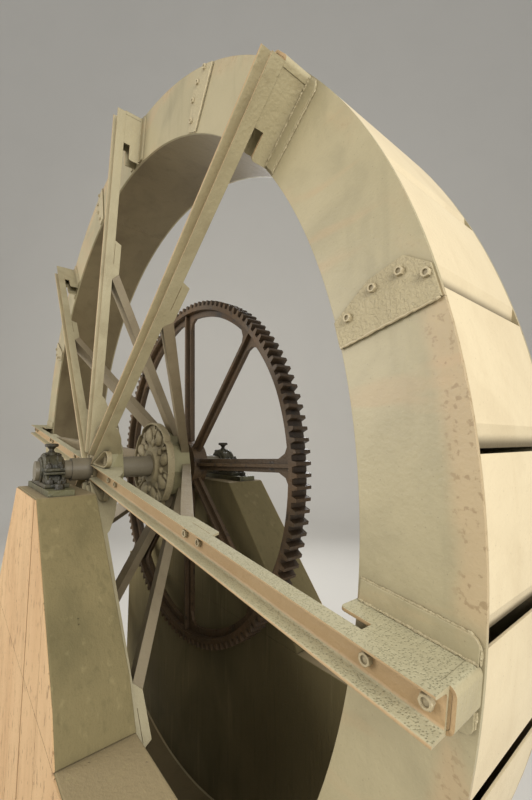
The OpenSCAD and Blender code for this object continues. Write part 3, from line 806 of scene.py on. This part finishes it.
def make_lap_bolts():
    piece = Piece("lap_bolts", looks["nut"])
    dice = random.Random(9)
    face = RIM_Y0 - PLATE_T
    for i in BAYS:
        edge = SEAM_A + BAY * i
        for r, a in LAP_BOLTS:
            where = at_angle(edge + a) @ slide(r * RIM_R, face, 0) @ TO_FRONT
            spin = Matrix.Rotation(dice.uniform(0, 3), 4, "Z")
            piece.add(hex_bolt(LAP_NUT_ACROSS, LAP_NUT_HIGH, LAP_NUT_HOLLOW), where @ spin)
        # A weld bead along each plate's lower edge, in the paler nut paint as a painted highlight of the
        # lit edge
        line = [(r, face + 0.0015, -0.002) for r in (SHROUD_R + 0.004, RIM_R - 0.006)]
        piece.add(bead(line, LAP_HIGHLIGHT_BEAD_R, 5 * i + 2, LAP_HIGHLIGHT_BEAD_STEP), at_angle(edge))
    piece.done("wheel", "wheel_steel")


# Near hub: a barrel and a disc, with an open lobe between every two arms

LOBE_X, LOBE_R, LOBE_GAP, LOBE_WALL = 0.2265, 0.0445, 0.0423, 0.009
LOBE_SLOPE, SLOPE_START, SLOPE_LONG = 0.032, 0.12, 0.13


def drop_outline(tip_x, radius, gap):
    """A drop that fits between two arms, round at its outer end, seen from a point on its middle line."""
    steps = 36
    pts = []
    for k in range(steps):
        a = 2 * math.pi * k / steps
        u, v = math.cos(a), math.sin(a)
        if u > -BAY_SIN:
            pts.append((tip_x + radius * u, radius * v))
        else:
            t = (tip_x * BAY_SIN - gap) / (-u * BAY_SIN + abs(v) * BAY_COS)
            t = min(t, (tip_x - gap / BAY_SIN * 1.05) / -u)
            pts.append((tip_x + t * u, t * v))
    return pts


def make_near_hub():
    piece = Piece("near_hub_casting", looks["hub"])
    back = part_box("near_hub")[1].y
    deep = back - ARM_BACK_Y
    disc = deep - 0.015
    profile = [(0, 0), (0.066, 0), (0.068, 0), (0.088, 0), (0.096, 0.004), (0.100, 0.010), (0.100, 0.030),
               (0.096, 0.034), (0.096, disc - 0.022), (0.104, disc - 0.008), (0.120, disc), (0.186, disc),
               (0.192, disc + 0.004), (0.192, deep - 0.004), (0.188, deep), (0, deep)]
    piece.add(turned(profile, 72), on_axle(back))
    outer = drop_outline(LOBE_X, LOBE_R, LOBE_GAP)
    inner = drop_outline(LOBE_X, LOBE_R - LOBE_WALL, LOBE_GAP + LOBE_WALL)
    for i in BAYS:
        lobe = band(outer, inner, ARM_BACK_Y - 0.042, ARM_BACK_Y + 0.015)
        for v in lobe.verts:
            if v.co.y < ARM_BACK_Y - 0.02:
                v.co.y += LOBE_SLOPE * min(max((v.co.x - SLOPE_START) / SLOPE_LONG, 0.0), 1.0)
        piece.add(lobe, between_arms(i))
    piece.done("wheel", "hub_iron", ["near_hub"])


# Inner hub: a disc with a raised rim, beans of cast iron in its bays and ribs towards its arms

INNER_RIM_R, RIM_NOTCH, NOTCH_SPREAD, RIM_STEPS = 0.263, 0.016, 4.5, 216


def kidney(length, wide, tall, bend, seed):
    """A lumpy bean of cast iron along X."""
    dice = random.Random(seed)
    bm = bmesh.new()
    bmesh.ops.create_icosphere(bm, subdivisions=3, radius=1.0)
    shift = [dice.uniform(0, 6) for _ in range(3)]
    for v in bm.verts:
        x, y, z = v.co
        lump = 1 + 0.10 * math.sin(3.1 * x + shift[0]) * math.cos(2.7 * z + shift[1])
        lump += 0.05 * math.sin(7 * x + shift[2])
        v.co = (length * x * lump, tall * y * lump, wide * z * lump + bend * x * x)
    return bm


def inner_rim():
    """Pairs (radius, angle) round the hub's rim, drawn in a little at every second arm."""
    rim = []
    for k in range(RIM_STEPS):
        a = 360 * k / RIM_STEPS
        off = min(abs((a - 45 - 90 * n + 180) % 360 - 180) for n in range(4))
        rim.append((INNER_RIM_R - RIM_NOTCH * math.exp(-(off / NOTCH_SPREAD) ** 2), math.radians(a)))
    return rim


def make_inner_hub():
    piece = Piece("inner_hub_casting", looks["hub"])
    back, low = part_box("inner_hub")[1].y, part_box("inner_hub")[0].y
    face, total = back - INNER_Y0, back - low
    profile = [(0, 0), (0.088, 0), (0.096, 0.004), (0.100, 0.010), (0.100, 0.020), (0.236, 0.020),
               (0.242, 0.026), (0.242, face - 0.010), (0.238, face - 0.006), (0.150, face - 0.006),
               (0.128, face - 0.002), (0.110, face + 0.006), (0.102, face + 0.012), (0.100, total - 0.006),
               (0.094, total), (0.070, total), (0.066, total - 0.003), (0, total - 0.003)]
    piece.add(turned(profile, 72), on_axle(back))
    rim = inner_rim()
    outer, inner, shelf = [[((r - inset) * math.cos(a), (r - inset) * math.sin(a)) for r, a in rim]
                           for inset in (0, 0.010, 0.006)]
    floor = [(0.230 * math.cos(a), 0.230 * math.sin(a)) for _, a in rim]
    piece.add(band(outer, inner, INNER_Y0 - 0.014, INNER_Y1 - 0.001, 0.0035), on_arm(0))
    piece.add(band(shelf, floor, INNER_Y0 + 0.008, INNER_Y1 - 0.004, 0.002), on_arm(0))
    rib = [(0.104, -0.006), (0.252, -0.005), (0.252, 0.005), (0.104, 0.006)]
    for i in BAYS:
        bean = kidney(0.054, 0.036, 0.022, 0.012 if i % 2 else -0.012, 7 * i)
        piece.add(bean, between_arms(i) @ slide(0.184, INNER_Y0 + 0.002, 0))
        bean = kidney(0.030, 0.015, 0.016, 0.0, 90 + i)
        piece.add(bean, between_arms(i) @ slide(0.200, INNER_Y0 + 0.003, 0.058))
        bean = kidney(0.026, 0.020, 0.015, 0.0, 40 + i)
        piece.add(bean, on_arm(i) @ slide(0.140, INNER_Y0 + 0.002, 0))
        piece.add(slab(rib, INNER_Y0 - 0.005, 0.020, 0.003), on_arm(i))
    piece.done("wheel", "hub_iron", ["inner_hub"])


CLAMP_BORE_R, CLAMP_BOLT_R = 0.0602, 0.077


def make_clamp_disc():
    piece = Piece("clamp_disc_plate", looks["hub"], looks["nut"])
    low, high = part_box("clamp_disc")
    back, thick, reach = high.y, high.y - low.y, high.x
    profile = [(CLAMP_BORE_R, 0), (reach, 0), (reach, thick - 0.003), (reach - 0.003, thick),
               (0.068, thick), (0.066, thick - 0.002), (CLAMP_BORE_R, thick - 0.002)]
    piece.add(turned(profile, 72, bore=True), on_axle(back))
    for i in BAYS:
        where = between_arms(i) @ slide(CLAMP_BOLT_R, back - thick, 0) @ TO_FRONT
        piece.add(hex_bolt(0.013, 0.007), where, 1)
    piece.done("wheel", "hub_iron", ["clamp_disc"])


# Welds by the gusset plates and the root box: a seed, then (distance, depth behind the arm) of both ends
WELD_RUNS = ((13, (1.062, 0.001), (1.138, 0.001)),
             (17, (0.20, 0.002), (0.40, 0.001)),
             (19, (1.056, 0.004), (1.084, 0.032)))
WELD_R, WELD_INSET = 0.0035, 0.008


def make_wheel_welds():
    piece = Piece("wheel_welds", looks["arm"])
    for i in BAYS:
        for s in (-1, 1):
            for seed, *ends in WELD_RUNS:
                line = [(r, ARM_BACK_Y + depth, s * (HALF - WELD_INSET)) for r, depth in ends]
                piece.add(bead(line, WELD_R, seed * i + s), on_arm(i))
    piece.done("wheel", "wheel_steel")


# Bearings: cast housings with lugs, ribs and bolts, one by each pier

SADDLE_R, SOLE_Z = 0.0535, BEARING_Z0 - AXLE_H
BARREL = [(0.0506, -0.055), (0.066, -0.055), (0.070, -0.051), (0.070, -0.045), (0.084, -0.043),
          (0.091, -0.036), (0.091, -0.022), (0.085, -0.017), (0.085, 0.017), (0.091, 0.022), (0.091, 0.036),
          (0.084, 0.043), (0.070, 0.045), (0.070, 0.051), (0.066, 0.055), (0.0506, 0.055)]


def lug(s, near, far, half_y, low, high):
    """A block on one side of the bearing, between two distances from its middle."""
    x0, x1 = sorted((s * near, s * far))
    return block((x0, -half_y, low), (x1, half_y, high), 0.004)


def make_housing(name, place):
    piece = Piece(f"{name}_bearing_casting", looks["bearing"], looks["cup"])
    piece.add(turned(BARREL, 64, bore=True), place @ TO_FRONT)
    neck = [(-0.100, SOLE_Z + 0.002), (0.100, SOLE_Z + 0.002), (0.088, -0.006), (SADDLE_R, -0.006)]
    neck += arc(0, 0, SADDLE_R, -6, -174, 18) + [(-SADDLE_R, -0.006), (-0.088, -0.006)]
    piece.add(slab(neck, -0.042, 0.084, 0.003), place)
    piece.add(block((-BEARING_X, -0.054, SOLE_Z), (BEARING_X, 0.054, SOLE_Z + 0.020), 0.005, 3), place)
    for s in (-1, 1):
        piece.add(lug(s, 0.076, 0.134, 0.046, -0.015, -0.001), place)
        piece.add(lug(s, 0.074, 0.132, 0.044, 0.001, 0.017), place)
        web = [(s * 0.080, SOLE_Z + 0.015), (s * 0.168, SOLE_Z + 0.015), (s * 0.162, SOLE_Z + 0.024),
               (s * 0.128, -0.016), (s * 0.080, -0.012)]
        for t in (-1, 1):
            piece.add(slab(web, t * 0.034 - 0.006, 0.012, 0.002), place)
            bolt = hex_bolt(0.024, 0.016, stud=0.012, washer_r=0.016, washer_t=0.003)
            piece.add(bolt, place @ slide(s * 0.112, t * 0.026, 0.016), 1)
            bolt = hex_bolt(0.026, 0.016, stud=0.010, washer_r=0.018, washer_t=0.003)
            piece.add(bolt, place @ slide(s * 0.172, t * 0.028, SOLE_Z + 0.019), 1)
        bolt = hex_bolt(0.034, 0.020, stud=0.016, washer_r=0.024, washer_t=0.004)
        piece.add(bolt, place @ slide(s * 0.238, 0.0, SOLE_Z - 0.001), 1)
    boss = [(0, 0.0), (0.030, 0.0), (0.030, 0.012), (0.026, 0.016), (0, 0.016)]
    piece.add(turned(boss, 32), place @ slide(0, 0, 0.078))
    lean = Matrix.Rotation(0.5, 4, "Y")
    for t in (-1, 1):
        piece.add(hex_bolt(0.018, 0.009), place @ slide(0.045, t * 0.029, 0.077) @ lean, 1)
    piece.done("piers", "bearing_iron", [f"{name}_bearing_housing", f"{name}_bearing_cap"])


def make_cup(name, y):
    """A turned grease cup, drawn in above its foot, with a wide head."""
    cup = Piece(f"{name}_grease_cup_turned", looks["cup"])
    tall = CUP_Z1 - CUP_Z0
    profile = [(0, 0), (0.017, 0), (0.017, 0.010), (0.012, 0.013), (0.012, 0.022), (0.018, 0.028),
               (0.020, tall * 0.62), (0.030, tall * 0.66), (0.032, tall * 0.72), (0.032, tall * 0.90),
               (0.029, tall * 0.97), (0.008, tall), (0, tall)]
    cup.add(turned(profile, 40), slide(0, y, CUP_Z0))
    cup.done("piers", "dark_iron", [f"{name}_grease_cup"])


def make_bearing(name, y, turn):
    make_housing(name, slide(0, y, AXLE_H) @ Matrix.Rotation(turn, 4, "Z"))
    make_cup(name, y)


# Board marks on the outer faces of the piers and walls: one thin slab for each board

BOARD_W, BOARD_X, BOARD_GAP, BOARD_ROOT, LEAST_W = 0.315, 0.28, 0.0022, 0.003, 0.02
PIER_TOP_X, KNEE_X, KNEE_Z = 0.300, 0.815, LEDGE_Z + 0.150
SIDE_INSET, LEDGE_INSET, TOP_INSET = 0.004, 0.004, 0.006


def pier_edge(x):
    """The pier's height above the floor at a distance from its middle."""
    x = abs(x)
    if x <= PIER_TOP_X:
        return PIER_TOP_Z
    if x <= KNEE_X:
        return PIER_TOP_Z + (KNEE_Z - PIER_TOP_Z) * (x - PIER_TOP_X) / (KNEE_X - PIER_TOP_X)
    return KNEE_Z + (LEDGE_Z - KNEE_Z) * (x - KNEE_X) / (PIER_FOOT_X - KNEE_X)


def make_boards(name, face, out):
    piece = Piece(f"{name}_boards", looks["board"])
    dice = random.Random(3)
    bends = [-PIER_TOP_X, PIER_TOP_X, -KNEE_X, KNEE_X]
    k = math.floor((-WALL_X - BOARD_X) / BOARD_W)
    while BOARD_X + k * BOARD_W < WALL_X:
        x0 = max(BOARD_X + k * BOARD_W + BOARD_GAP, -WALL_X + SIDE_INSET)
        x1 = min(BOARD_X + (k + 1) * BOARD_W - BOARD_GAP, WALL_X - SIDE_INSET)
        k += 1
        if x1 - x0 < LEAST_W:
            continue
        thick = dice.uniform(0.0035, 0.0075)
        y0 = face - thick if out < 0 else face - BOARD_ROOT
        deep = thick + BOARD_ROOT
        wall_top = LEDGE_Z - LEDGE_INSET
        piece.add(slab([(x0, 0.0), (x1, 0.0), (x1, wall_top), (x0, wall_top)], y0, deep, 0.0015))
        a, b = max(x0, -PIER_FOOT_X + SIDE_INSET), min(x1, PIER_FOOT_X - SIDE_INSET)
        if b - a < LEAST_W:
            continue
        xs = sorted([a, b] + [v for v in bends if a < v < b])
        line = [(a, LEDGE_Z - 0.001), (b, LEDGE_Z - 0.001)]
        line += [(v, max(pier_edge(v) - TOP_INSET, LEDGE_Z + LEDGE_INSET)) for v in reversed(xs)]
        piece.add(slab(line, y0, deep, 0.0015))
    piece.done("piers", "concrete")


make_arms()
make_arm_bolts()
make_brackets()
make_lap_bolts()
make_near_hub()
make_inner_hub()
make_clamp_disc()
make_wheel_welds()
make_bearing("near", BEARING_Y, 0.0)
make_bearing("far", -BEARING_Y, math.pi)
make_boards("near", PIER_Y0, -1)
make_boards("far", -PIER_Y0, 1)
